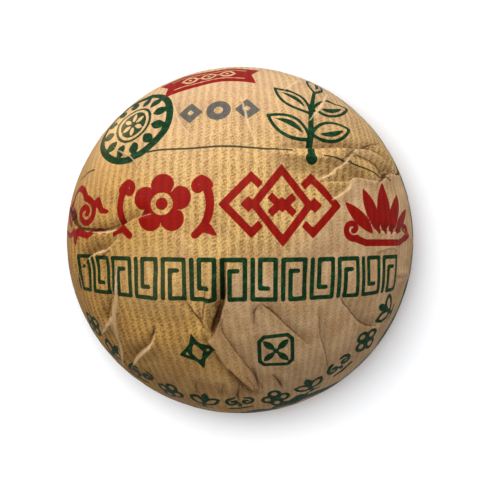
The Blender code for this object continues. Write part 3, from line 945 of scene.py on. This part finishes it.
def border(radius, bearing):
    """Signed distance to the band round the sheet. Its inner radius changes as a cosine of the bearing,
    because the band lies off the middle, and a bell pulls it in at the lower right with a jagged edge."""
    off = (bearing - math.radians(BORDER_PULL_BEARING)) / math.radians(BORDER_PULL_SPAN)
    jagged = 0.5 * abs(np.sin(9 * bearing)) + 0.3 * abs(np.sin(23 * bearing + 1))
    shift = BORDER_SHIFT * np.cos(bearing - math.radians(BORDER_SHIFT_BEARING))
    inner = BORDER_RADIUS - shift - BORDER_PULL * np.exp(-off**2) * (0.8 + jagged)
    return abs(radius - inner - BORDER_WIDTH / 2) - BORDER_WIDTH / 2


def red_print(right, up):
    """Signed distance in mm to the red print: four ornaments in a row and the ribbon."""
    ink = np.full(right.shape, NO_INK)
    for shape, centre in zip((cloud, blossom, lozenges, lotus), EMBLEM_ROW):
        print_shape(ink, right, up, shape, centre, 17.5)
    print_shape(ink, right, up, ribbon, PRINT_CENTRE, 60.0)
    return ink


def green_print(right, up, bearing):
    """Signed distance in mm to the green print: fret, medallion, sprig, garland and border."""
    ink = np.full(right.shape, NO_INK)
    band = np.flatnonzero(abs(up - FRET_MIDDLE) < FRET_HEIGHT)
    ink[band] = fret(right[band], up[band])
    print_shape(ink, right, up, paired_lozenge, PAIRED_LOZENGE_CENTRE, 7.0, 15.0)
    print_shape(ink, right, up, square_blossom, SQUARE_BLOSSOM_CENTRE, 7.5, 4.0)
    print_shape(ink, right, up, medallion, MEDALLION_CENTRE, 16.0)
    print_shape(ink, right, up, sprig, SPRIG_FOOT, 40.0)
    motifs = (small_blossom, small_leaves, small_cloud)
    for number, angle in enumerate(np.linspace(*GARLAND_BEARINGS, GARLAND_COUNT)):
        centre = polar(PRINT_CENTRE, math.radians(angle), GARLAND_RADIUS)
        print_shape(ink, right, up, motifs[number % 3], centre, 5.6, angle + 90, 1.15)
    return union(ink, border(np.hypot(right, up), bearing))


def grey_print(right, up):
    """Signed distance in mm to the thin green-grey print, a badge near the top."""
    ink = np.full(right.shape, NO_INK)
    print_shape(ink, right, up, badge, BADGE_CENTRE, 14.0)
    return ink


def rule_line(right, up):
    """The thin rule over the print: signed distance to its line, and its half width, which is below zero in
    its gaps."""
    off = up - RULE_TOP[1] + RULE_DROP * (right - RULE_TOP[0]) ** 2
    shown = abs(off) < 2.0
    for start, end in RULE_GAPS:
        shown &= (right < start) | (right > end)
    return np.where(shown, off, NO_INK), np.where(shown, RULE_HALF_WIDTH, -1.0)


def deep_share(right, up):
    """How deep and dark a brown the paper is, from 0 to 1, towards its left and lower edges: partly the
    paper's own tone, partly painted shade.
    """
    corner = smooth_step(-0.90 * right - 0.44 * up, *DEEP_CORNER)
    foot = smooth_step(-up, *DEEP_FOOT) * smooth_step(-right, -24.0, 0.0)
    return np.maximum(corner, DEEP_FOOT_SHARE * foot)


def rosy_share(right, up):
    """How smooth and rosy the paper is, from 0 to 1: 1 to the right of the rosy edge, and rosier towards
    the foot of the sheet. The rosy tone is partly painted cooler light."""
    edge = np.array(ROSY_EDGE)
    off, side, share = distance_to_path(right, up, edge[:, :2])
    width = np.interp(share, path_share(edge), edge[:, 2])
    rosy = smooth_step(-off * side / width, -1.0, 1.0)
    foot = smooth_step(-up, *ROSY_FOOT) * smooth_step(right, -36.0, -15.0)
    rosy = np.maximum(rosy, ROSY_FOOT_SHARE * foot)
    for places, half_width in SMOOTH_BANDS:
        off, side, share = distance_to_path(right, up, np.array(places))
        rosy = np.maximum(rosy, 0.5 - 0.5 * smooth_step(off, 0.5 * half_width, 1.4 * half_width))
    return rosy


def set_floats(mesh, name, values):
    """Stores one number for each point of a mesh."""
    layer = mesh.attributes.new(name, "FLOAT", "POINT")
    layer.data.foreach_set("value", np.asarray(values, np.float32))


def set_vectors(mesh, name, columns):
    """Stores three numbers for each point of a mesh."""
    layer = mesh.attributes.new(name, "FLOAT_VECTOR", "POINT")
    layer.data.foreach_set("vector", np.column_stack(columns).astype(np.float32).ravel())


class Shader:
    """A small hand for wiring a material's nodes."""

    def __init__(self, material):
        self.tree = material.node_tree

    def node(self, kind, **values):
        """A new node of this kind, with its settings."""
        made = self.tree.nodes.new(kind)
        for name, value in values.items():
            setattr(made, name, value)
        return made

    def join(self, source, target):
        """Links a socket, or sets a plain value."""
        if isinstance(source, (int, float)):
            target.default_value = source
        elif isinstance(source, (tuple, list)):
            target.default_value = tuple(source) + (1.0,) * (len(target.default_value) - len(source))
        else:
            self.tree.links.new(source, target)

    def math(self, operation, first, second=0.0, third=0.0):
        """The result of one sum on up to three values."""
        made = self.node("ShaderNodeMath", operation=operation)
        for value, socket in zip((first, second, third), made.inputs):
            self.join(value, socket)
        return made.outputs[0]

    def times(self, first, second):
        """first * second."""
        return self.math("MULTIPLY", first, second)

    def scaled(self, value, factor, added):
        """value * factor + added."""
        return self.math("MULTIPLY_ADD", value, factor, added)

    def ramp(self, value, low, high, out_low=0.0, out_high=1.0):
        """A smooth rise of value from low to high, or a fall where low is above high."""
        made = self.node("ShaderNodeMapRange", interpolation_type="SMOOTHSTEP")
        for number, source in enumerate((value, low, high, out_low, out_high)):
            self.join(source, made.inputs[number])
        return made.outputs[0]

    def mix(self, share, first, second, blend="MIX"):
        """The first colour with the second laid over it, or multiplied into it, by share."""
        made = self.node("ShaderNodeMix", data_type="RGBA", blend_type=blend)
        self.join(share, made.inputs[0])
        self.join(first, made.inputs[6])
        self.join(second, made.inputs[7])
        return made.outputs[2]

    def attribute(self, name, output="Fac"):
        """What the mesh points store under this name."""
        return self.node("ShaderNodeAttribute", attribute_name=name).outputs[output]

    def noise(self, vector, scale, detail=2.0, stretch=(1.0, 1.0, 1.0)):
        """Noise with scale features for each unit of the coordinates, stretched by stretch."""
        mapping = self.node("ShaderNodeMapping")
        self.join(vector, mapping.inputs["Vector"])
        mapping.inputs["Scale"].default_value = stretch
        made = self.node("ShaderNodeTexNoise")
        self.join(mapping.outputs[0], made.inputs["Vector"])
        made.inputs["Scale"].default_value = scale
        made.inputs["Detail"].default_value = detail
        return made.outputs["Fac"]


def paper_noises(wire, ribs):
    """Noises over the sheet, from broad to fine."""
    return {
        "blotch": wire.noise(ribs, 0.16, 3.0),
        "drift": wire.noise(ribs, 0.35, 2.0),
        "mottle": wire.noise(ribs, 0.8, 3.0),
        "speckle": wire.noise(ribs, 2.0, 2.0),
        "fibre": wire.noise(ribs, 3.6, 2.0, (1.0, 0.5, 1.0)),
        "grain": wire.noise(ribs, 7.0, 2.0),
    }


def rib_dashes(wire, look, ribs, noises):
    """The wave of the ribs, how much a place lies in one, and the slanted dashes in them: a sine wave across
    the ribs, and one along them that leans with the place across and is broken up by noise."""
    split = wire.node("ShaderNodeSeparateXYZ")
    wire.join(ribs, split.inputs[0])
    speckle = noises["speckle"]
    across = wire.math("ADD", split.outputs[0], wire.scaled(noises["drift"], 1.0, -0.5))
    rib = wire.math("SINE", wire.times(across, math.tau / look.rib_pitch))
    slant = wire.scaled(across, -0.60, split.outputs[1])
    jitter = wire.scaled(noises["mottle"], 7.0, wire.times(slant, math.tau / look.dash_pitch))
    jitter = wire.scaled(speckle, 3.0, jitter)
    dash = wire.scaled(wire.math("SINE", jitter), 0.60, wire.times(speckle, 2.4))
    in_rib = wire.ramp(wire.scaled(speckle, 1.8, rib), -0.1, 1.7)
    return rib, in_rib, wire.times(in_rib, wire.ramp(dash, 0.5, 2.0, 0.34, 1.0))


def bare_paper(wire, look, noises, dashes):
    """The colour of the paper with its blotches, fibres and dashes, its painted glare and highlights, and
    its edges deepened partly by painted shade, but without print or creases.
    """
    rosy, pale, deep = wire.attribute("rosy"), wire.attribute("pale"), wire.attribute("deep")
    paper = wire.mix(rosy, tuple(look.golden), tuple(look.rosy))
    paper = wire.mix(wire.ramp(noises["blotch"], 0.36, 0.66, 0.0, 0.55), paper, BLOTCH_TONE)
    rough = wire.scaled(rosy, -0.5, 1.0)
    for name, low, high, most, tone in (
            ("fibre", 0.42, 0.62, 0.48, FIBRE_TONE), ("speckle", 0.47, 0.68, 0.52, SPECKLE_TONE),
            ("grain", 0.52, 0.72, 0.40, GRAIN_TONE)):
        share = wire.times(wire.ramp(noises[name], low, high, 0.0, most), rough)
        paper = wire.mix(share, paper, tone)
    # Painted glare towards the top: paler paper, with fainter and redder dashes under it.
    paper = wire.mix(wire.times(pale, 0.50), paper, TOP_GLARE_TONE)
    dark = wire.times(dashes, wire.ramp(noises["mottle"], 0.30, 0.66, 0.45, 1.0))
    dark = wire.times(dark, wire.scaled(rosy, -0.48, 0.92))
    dark = wire.times(dark, wire.scaled(pale, -0.42, 1.0))
    paper = wire.mix(dark, paper, wire.mix(pale, tuple(look.shade), TOP_GLARE_DASH_TONE))
    # Deeper, darker brown towards the edges: partly the paper's own tone, partly painted shade.
    paper = wire.mix(wire.ramp(deep, 0.0, 0.35), paper, GOLDEN_TINT, "MULTIPLY")
    paper = wire.mix(wire.times(deep, 0.75), paper, DEEP_TINT, "MULTIPLY")
    # Painted highlights, laid over last.
    return wire.mix(wire.attribute("gleam"), paper, PAINTED_HIGHLIGHT_TONE)


def print_masks(wire, noises):
    """Where each ink lies, from 0 to 1: within its signed distance, with a rough edge."""
    rough_edge = wire.scaled(noises["grain"], 0.16, -0.08)
    masks = {}
    for name in ("red", "green", "grey"):
        edge = wire.math("ADD", wire.attribute(name + "_ink"), rough_edge)
        masks[name] = wire.ramp(edge, 0.07, -0.07)
    return masks


def printed_paper(wire, look, noises, in_rib, paper, masks):
    """The colour of the paper with its print. The inks are thin, so ribs and mottle show through."""
    mottle, fibre = noises["mottle"], noises["fibre"]
    thin = wire.times(wire.ramp(mottle, 0.45, 0.66, 0.1, 0.8), wire.ramp(fibre, 0.35, 0.60, 0.5, 1.0))
    green = wire.mix(thin, tuple(look.green), THIN_GREEN)
    # The green darkens towards the edges too, partly as painted shade.
    green = wire.mix(wire.attribute("deep"), green, DEEP_GREEN_TINT, "MULTIPLY")
    red = wire.mix(wire.times(in_rib, 0.45), tuple(look.red), RIBBED_RED)
    grey = wire.mix(wire.ramp(noises["grain"], 0.45, 0.70, 0.0, 0.3), tuple(look.grey), paper)
    rule_off = wire.math("ABSOLUTE", wire.attribute("rule_off"))
    rule = wire.ramp(wire.math("SUBTRACT", rule_off, wire.attribute("rule_half")), 0.10, -0.06)
    colour = wire.mix(wire.times(masks["grey"], 0.90), paper, grey)
    colour = wire.mix(wire.times(rule, 0.95), colour, RULE_INK)
    colour = wire.mix(masks["green"], colour, green)
    colour = wire.mix(masks["red"], colour, red)
    # A painted highlight laid over the print too.
    gleam = wire.attribute("gleam")
    return wire.mix(wire.times(gleam, gleam), colour, PAINTED_HIGHLIGHT_TONE)


def crease_lines(wire, noises):
    """How much a worn crest, partly a painted highlight, and a dark gap of painted shade cover each place,
    from 0 to 1.
    """
    frayed = wire.math(
        "ADD", wire.scaled(noises["mottle"], 0.3, -0.15), wire.scaled(noises["fibre"], 0.3, -0.15))
    covers = []
    for name, out, inside in (("worn", 0.20, -0.16), ("dark", 0.26, -0.14)):
        off = wire.math("ABSOLUTE", wire.attribute(name + "_off"))
        past = wire.math("SUBTRACT", off, wire.attribute(name + "_half"))
        covers.append(wire.ramp(wire.math("ADD", past, frayed), out, inside))
    crest, gap = covers
    return crest, wire.times(gap, wire.ramp(wire.attribute("dark_half"), 0.04, 0.28, 0.54, 0.94))


def creased_paper(wire, look, noises, colour, crest, gap):
    """The colour with painted shade beside the creases, rubbed crests that are partly a painted highlight,
    and dark gaps of painted shade laid over it.
    """
    # Rubbed crests, partly wear and partly a painted highlight.
    crest_half = wire.attribute("worn_half")
    crest_highlight_tone = wire.mix(wire.ramp(crest_half, 0.30, 0.60), tuple(look.worn), BROAD_CREST_TONE)
    # Painted shade beside the creases, made patchy by the mottle.
    soil = wire.math("POWER", wire.attribute("soil"), 1.2)
    soil = wire.times(soil, wire.ramp(noises["mottle"], 0.2, 0.7, 0.75, 1.0))
    colour = wire.mix(soil, colour, PAINTED_SHADE_TINT, "MULTIPLY")
    rubbed_highlight = wire.times(crest, wire.ramp(noises["fibre"], 0.30, 0.60, 0.70, 1.0))
    rubbed_highlight = wire.times(rubbed_highlight, wire.ramp(crest_half, 0.05, 0.60, 0.64, 0.84))
    colour = wire.mix(rubbed_highlight, colour, crest_highlight_tone)
    # The dark gap is painted shade: a dark colour and the colour under it darkened.
    gap_shade_tone = wire.mix(0.55, tuple(look.gap), wire.mix(1.0, colour, GAP_SHADE_TINT, "MULTIPLY"))
    return wire.mix(gap, colour, gap_shade_tone)


def paper_relief(wire, noises, rib, dashes, crest, gap):
    """The height in mm of ribs, dashes, fibres, crests and gaps, as a bump on the paper."""
    relief = wire.times(rib, -0.020)
    for value, height in ((dashes, -0.045), (noises["fibre"], 0.045), (noises["grain"], 0.020),
                          (crest, 0.07), (gap, -0.16)):
        relief = wire.scaled(value, height, relief)
    bump = wire.node("ShaderNodeBump")
    bump.inputs["Strength"].default_value = 0.9
    bump.inputs["Distance"].default_value = MM
    wire.join(relief, bump.inputs["Height"])
    return bump.outputs[0]


def paper_material(look):
    """Ribbed kraft paper with its print: ribs of slanted dark dashes, blotches and fibres, worn crests with
    a painted highlight, painted shade in the gaps and beside the creases, painted glare and highlights, and
    inks that let the ribs show through."""
    material = bpy.data.materials.new("printed_kraft_paper")
    material.use_nodes = True
    wire = Shader(material)
    shader = material.node_tree.nodes["Principled BSDF"]
    ribs = wire.attribute("rib_place", "Vector")
    noises = paper_noises(wire, ribs)
    rib, in_rib, dashes = rib_dashes(wire, look, ribs, noises)
    paper = bare_paper(wire, look, noises, dashes)
    masks = print_masks(wire, noises)
    colour = printed_paper(wire, look, noises, in_rib, paper, masks)
    crest, gap = crease_lines(wire, noises)
    wire.join(creased_paper(wire, look, noises, colour, crest, gap), shader.inputs["Base Color"])
    inked = wire.math("MAXIMUM", masks["red"], masks["green"])
    roughness = wire.scaled(noises["fibre"], 0.12, wire.scaled(inked, -0.12, look.roughness))
    wire.join(roughness, shader.inputs["Roughness"])
    shader.inputs["Specular IOR Level"].default_value = 0.05
    wire.join(paper_relief(wire, noises, rib, dashes, crest, gap), shader.inputs["Normal"])
    return material


def make_wrapper(cake, look):
    """The whole wrapper as one closed surface of bearing and length of paper: the turned profile moved
    along its outward direction by creases, lumps, crumples, puckers, pleats and the twist."""
    grid = WrapperGrid(cake)
    creases = CreaseField(grid.right, grid.up)
    on_dome = 1 - smooth_step(grid.paper, grid.belly - CREASE_FADE[0], grid.belly - CREASE_FADE[1])
    lumps = cake.lump_height * lump_relief(grid.right, grid.up)
    lower = CALM_SHARE + (1 - CALM_SHARE) * smooth_step(-grid.up, *CRUMPLED_FOOT)
    crumples = cake.crumple_height * lower * crumple_relief(grid.right, grid.up)
    height = on_dome * (cake.crease_height * creases.height * MM + lumps + crumples)
    height += MM * pucker_relief(grid.turn, grid.paper / MM, grid.belly / MM)
    hollow = grid.land.max() + PLEAT_DEEPEST
    height += pleat_relief(grid.turn, grid.paper, grid.land.min(), hollow, grid.middle, cake.twist_radius)
    height += twist_relief(grid.turn, grid.paper, grid.middle, cake.twist_radius)
    place = grid.place + grid.outward * height[:, None]
    place[:, 2] = np.maximum(place[:, 2], CAKE_LOW.z)

    mesh = bpy.data.meshes.new("wrapper")
    mesh.from_pydata(place, [], grid.faces())
    mesh.update()
    right, up = grid.right, grid.up
    bearing = np.angle(np.exp(1j * grid.turn))
    set_floats(mesh, "red_ink", red_print(right, up))
    set_floats(mesh, "green_ink", green_print(right, up, bearing))
    set_floats(mesh, "grey_ink", grey_print(right, up))
    lines = {"worn": creases.worn, "dark": creases.dark, "rule": rule_line(right, up)}
    for name, (off, half) in lines.items():
        set_floats(mesh, name + "_off", off)
        set_floats(mesh, name + "_half", half)
    # Rosy tone, partly painted cooler light.
    set_floats(mesh, "rosy", rosy_share(right, up))
    # Painted shade beside the creases and in the hollows.
    set_floats(mesh, "soil", on_dome * creases.shade)
    # Painted highlights.
    set_floats(mesh, "gleam", on_dome * soft_places(right, up, PAINTED_HIGHLIGHTS))
    # Deeper brown towards the edges, partly painted shade.
    set_floats(mesh, "deep", deep_share(right, up))
    # Painted glare towards the top.
    set_floats(mesh, "pale", smooth_step(up - TOP_GLARE_SLANT * right, *TOP_GLARE_SPAN))
    leaning = 1 - smooth_step(right, *RIB_LEAN_FADE)
    sheared = right + RIB_LEAN * np.minimum(up - RIB_LEAN_TOP, 0.0) * leaning
    set_vectors(mesh, "rib_place", (sheared, up, np.zeros(len(up))))
    mesh.shade_smooth()
    mesh.materials.append(paper_material(look))
    return mesh


def add_piece(name, mesh):
    """Links a mesh as a piece that moves with the cake."""
    piece = bpy.data.objects.new(name, mesh)
    bpy.context.scene.collection.objects.link(piece)
    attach(piece, "root")
    return piece


class TUOCHA_OT_wrapper(bpy.types.Operator):
    """Wraps the cake in its printed paper"""

    bl_idname = "tuocha.wrapper"
    bl_label = "Wrap the cake"

    def execute(self, context):
        scene = context.scene
        mesh = make_wrapper(scene.tuocha_cake, scene.tuocha_paper)
        wrapper = add_piece("paper_wrapper", mesh)
        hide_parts("wrapped_tuocha")
        return {"FINISHED"}


def plain_material(name, colour, roughness):
    """One even finish, for the stage."""
    material = bpy.data.materials.new(name)
    material.use_nodes = True
    shader = material.node_tree.nodes["Principled BSDF"]
    shader.inputs["Base Color"].default_value = (*colour, 1.0)
    shader.inputs["Roughness"].default_value = roughness
    return material


def sky_place(azimuth, elevation, distance):
    """The place at this distance from the origin, its azimuth counted from +X and its elevation from the
    floor, both in degrees."""
    turn, rise = math.radians(azimuth), math.radians(elevation)
    return (distance * math.cos(rise) * math.cos(turn), distance * math.cos(rise) * math.sin(turn),
            distance * math.sin(rise))


def add_softbox(name, place, size, watts, colour):
    """A square area light at place that shines at the middle of the cake."""
    light = bpy.data.lights.new(name, "AREA")
    light.shape = "RECTANGLE"
    light.size = light.size_y = size
    light.energy = watts
    light.color = colour
    lamp = bpy.data.objects.new(name, light)
    bpy.context.scene.collection.objects.link(lamp)
    way = np.array(LAMP_TARGET) - np.array(place)
    lamp.location = place
    flat = math.hypot(way[0], way[1])
    lamp.rotation_euler = (math.atan2(flat, -way[2]), 0.0, math.atan2(way[1], way[0]) - math.pi / 2)
    return lamp


def lay_floor(stage):
    """A wide plain floor just under the cake. It throws no light back on the cake."""
    corners = [(x * FLOOR_REACH, y * FLOOR_REACH, 0.0) for x, y in ((-1, -1), (1, -1), (1, 1), (-1, 1))]
    mesh = bpy.data.meshes.new("floor")
    mesh.from_pydata(corners, [], [(0, 1, 2, 3)])
    mesh.materials.append(plain_material("floor_white", stage.floor_colour, 0.8))
    floor = bpy.data.objects.new("floor", mesh)
    floor.location.z = CAKE_LOW.z - FLOOR_GAP
    bpy.context.scene.collection.objects.link(floor)
    floor.visible_diffuse = False
    floor.visible_glossy = False
    return floor


def hang_lamps(stage, floor):
    """Three lamps that light the cake and leave the floor out, and a broad one for the floor alone."""
    floor_only = bpy.data.collections.new("floor_only")
    floor_only.objects.link(floor)
    all_but_floor = bpy.data.collections.new("all_but_floor")
    all_but_floor.objects.link(floor)
    all_but_floor.collection_objects[0].light_linking.link_state = "EXCLUDE"
    for name, azimuth, elevation, setting in CAKE_LAMPS:
        place = sky_place(azimuth, elevation, LAMP_DISTANCE)
        lamp = add_softbox(name, place, LAMP_SIZE, getattr(stage, setting), LAMP_COLOUR)
        lamp.light_linking.receiver_collection = all_but_floor
    place = sky_place(*FLOOR_LAMP_PLACE)
    floor_light = add_softbox("floor_light", place, FLOOR_LAMP_SIZE, stage.floor_watts, (1.0, 1.0, 1.0))
    floor_light.light_linking.receiver_collection = floor_only


def even_light(strength):
    """A world of one pale colour."""
    world = bpy.data.worlds.new("studio")
    world.use_nodes = True
    background = world.node_tree.nodes["Background"]
    background.inputs["Color"].default_value = WORLD_COLOUR
    background.inputs["Strength"].default_value = strength
    return world


def overhead_camera(stage):
    """A camera straight above the cake."""
    camera = bpy.data.cameras.new("camera")
    camera.lens = stage.lens
    camera.clip_start, camera.clip_end = 0.01, 10.0
    eye = bpy.data.objects.new("camera", camera)
    eye.location = (0.0, 0.0, stage.camera_height)
    bpy.context.scene.collection.objects.link(eye)
    return eye


class TUOCHA_OT_stage(bpy.types.Operator):
    """Lays the floor and sets the lights, the even light of the room and the camera"""

    bl_idname = "tuocha.stage"
    bl_label = "Set the stage"

    def execute(self, context):
        scene, stage = context.scene, context.scene.tuocha_stage
        hang_lamps(stage, lay_floor(stage))
        scene.world = even_light(stage.world_strength)
        scene.view_settings.view_transform = "Standard"
        scene.camera = overhead_camera(stage)
        return {"FINISHED"}


class TUOCHA_PT_panel(bpy.types.Panel):
    """Sizes, colours and steps of the wrapped tuocha"""

    bl_idname = "TUOCHA_PT_panel"
    bl_label = "Wrapped tuocha"
    bl_space_type = "VIEW_3D"
    bl_region_type = "UI"
    bl_category = "Tuocha"

    def draw(self, context):
        for operator in OPERATORS:
            self.layout.operator(operator.bl_idname)
        for settings in (context.scene.tuocha_cake, context.scene.tuocha_paper, context.scene.tuocha_stage):
            box = self.layout.box()
            for name in settings.__annotations__:
                box.prop(settings, name)


SETTINGS = {
    "tuocha_cake": TuochaCakeSettings,
    "tuocha_paper": TuochaPaperSettings,
    "tuocha_stage": TuochaStageSettings,
}
OPERATORS = (TUOCHA_OT_stage, TUOCHA_OT_wrapper)


def register():
    """Registers the settings, the operators and the panel."""
    for name, settings in SETTINGS.items():
        bpy.utils.register_class(settings)
        setattr(bpy.types.Scene, name, bpy.props.PointerProperty(type=settings))
    for shown in (*OPERATORS, TUOCHA_PT_panel):
        bpy.utils.register_class(shown)


def unregister():
    """Takes back what register did, the other way round."""
    for shown in (TUOCHA_PT_panel, *OPERATORS):
        bpy.utils.unregister_class(shown)
    for name, settings in reversed(SETTINGS.items()):
        delattr(bpy.types.Scene, name)
        bpy.utils.unregister_class(settings)


def main():
    """Registers the classes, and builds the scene."""
    register()
    bpy.ops.tuocha.stage()
    bpy.ops.tuocha.wrapper()


if __name__ == "__main__":
    main()
